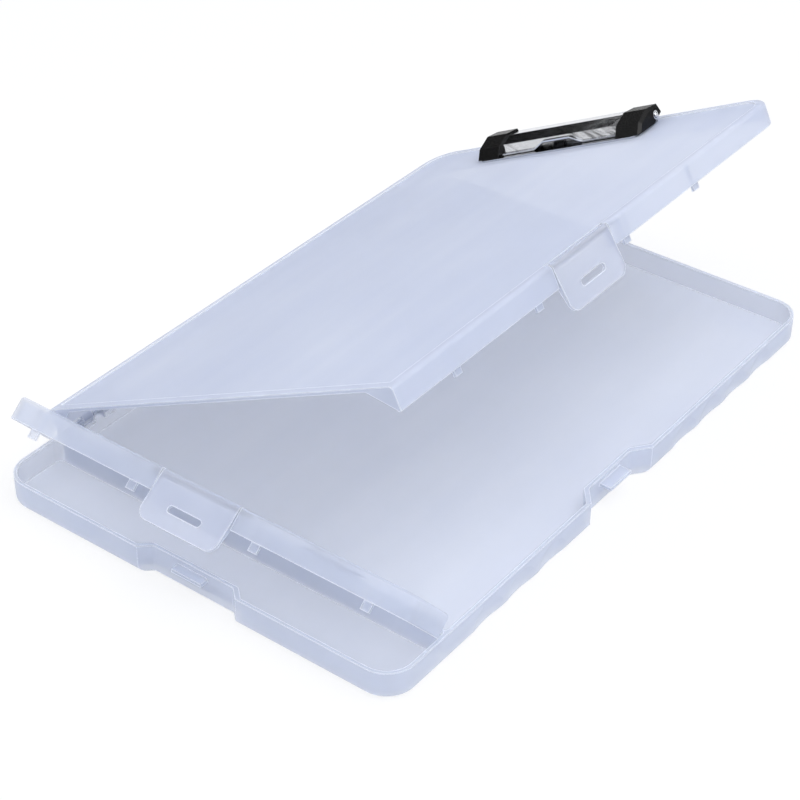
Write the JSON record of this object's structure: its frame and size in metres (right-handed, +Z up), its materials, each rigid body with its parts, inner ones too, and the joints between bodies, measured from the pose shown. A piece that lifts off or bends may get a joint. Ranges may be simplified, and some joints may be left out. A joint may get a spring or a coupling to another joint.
{
  "type": "storage clipboard box",
  "caption": "Shallow plastic storage box with a divided tray, two hinged lids with swing latches, and a low sprung clip for sheets on the large lid.",
  "frame": {"origin": "centre of the tray's flat underside, on the table", "axes": "+Z up from the table, +Y along the box towards the clip, +X towards the large lid's free edge and its latch"},
  "size_m": [0.2536, 0.3841, 0.1375],
  "materials": {
    "frosted_plastic": "frosted translucent polypropylene, bluish white, satin",
    "steel_pin": "drawn wire",
    "spring_steel": "spring wire",
    "chrome": "bright plated sheet steel",
    "black_plastic": "black moulded, slightly glossy"
  },
  "bodies": {
    "tray": {"base_tray": "frosted_plastic", "main_hinge_pin_front": "steel_pin", "main_hinge_pin_rear": "steel_pin", "narrow_hinge_pin_left": "steel_pin", "narrow_hinge_pin_right": "steel_pin"},
    "main_lid": {"main_lid": "frosted_plastic", "main_latch_pin": "steel_pin", "clip_base_plate": "chrome", "clip_rod": "chrome", "clip_spring_left": "spring_steel", "clip_spring_right": "spring_steel", "clip_rivet_left": "chrome", "clip_rivet_right": "chrome", "rivet_washer_left": "chrome", "rivet_washer_right": "chrome"},
    "narrow_lid": {"narrow_lid": "frosted_plastic", "narrow_latch_pin": "steel_pin"},
    "main_latch": {"main_latch": "frosted_plastic"},
    "narrow_latch": {"narrow_latch": "frosted_plastic"},
    "clip_jaw": {"clip_jaw": "chrome", "clip_cap_left": "black_plastic", "clip_cap_right": "black_plastic"}
  },
  "joints": [
    {"name": "main_lid_hinge", "type": "hinge", "parent": "tray", "child": "main_lid", "pos_m": [-0.1249, 0, 0.012], "axis": [0, -1, 0], "range_deg": [-26.8, 113.2]},
    {"name": "narrow_lid_hinge", "type": "hinge", "parent": "tray", "child": "narrow_lid", "pos_m": [0, -0.1495, 0.0257], "axis": [-1, 0, 0], "range_deg": [-49.5, 40.5]},
    {"name": "main_latch_pivot", "type": "hinge", "parent": "main_lid", "child": "main_latch", "pos_m": [0.08863, 0, 0.13532], "axis": [0, -1, 0], "range_deg": [-7, 80]},
    {"name": "narrow_latch_pivot", "type": "hinge", "parent": "narrow_lid", "child": "narrow_latch", "pos_m": [0, -0.17365, 0.05413], "axis": [-1, 0, 0], "range_deg": [-7, 80]},
    {"name": "clip_jaw_hinge", "type": "hinge", "parent": "main_lid", "child": "clip_jaw", "pos_m": [-0.02703, 0.176, 0.08418], "axis": [-0.8926, 0, -0.4509], "range_deg": [0, 25], "stiffness_Nm_per_rad": 0.15, "springref_deg": -68.75, "deforming": ["clip_spring_left", "clip_spring_right"]}
  ]
}
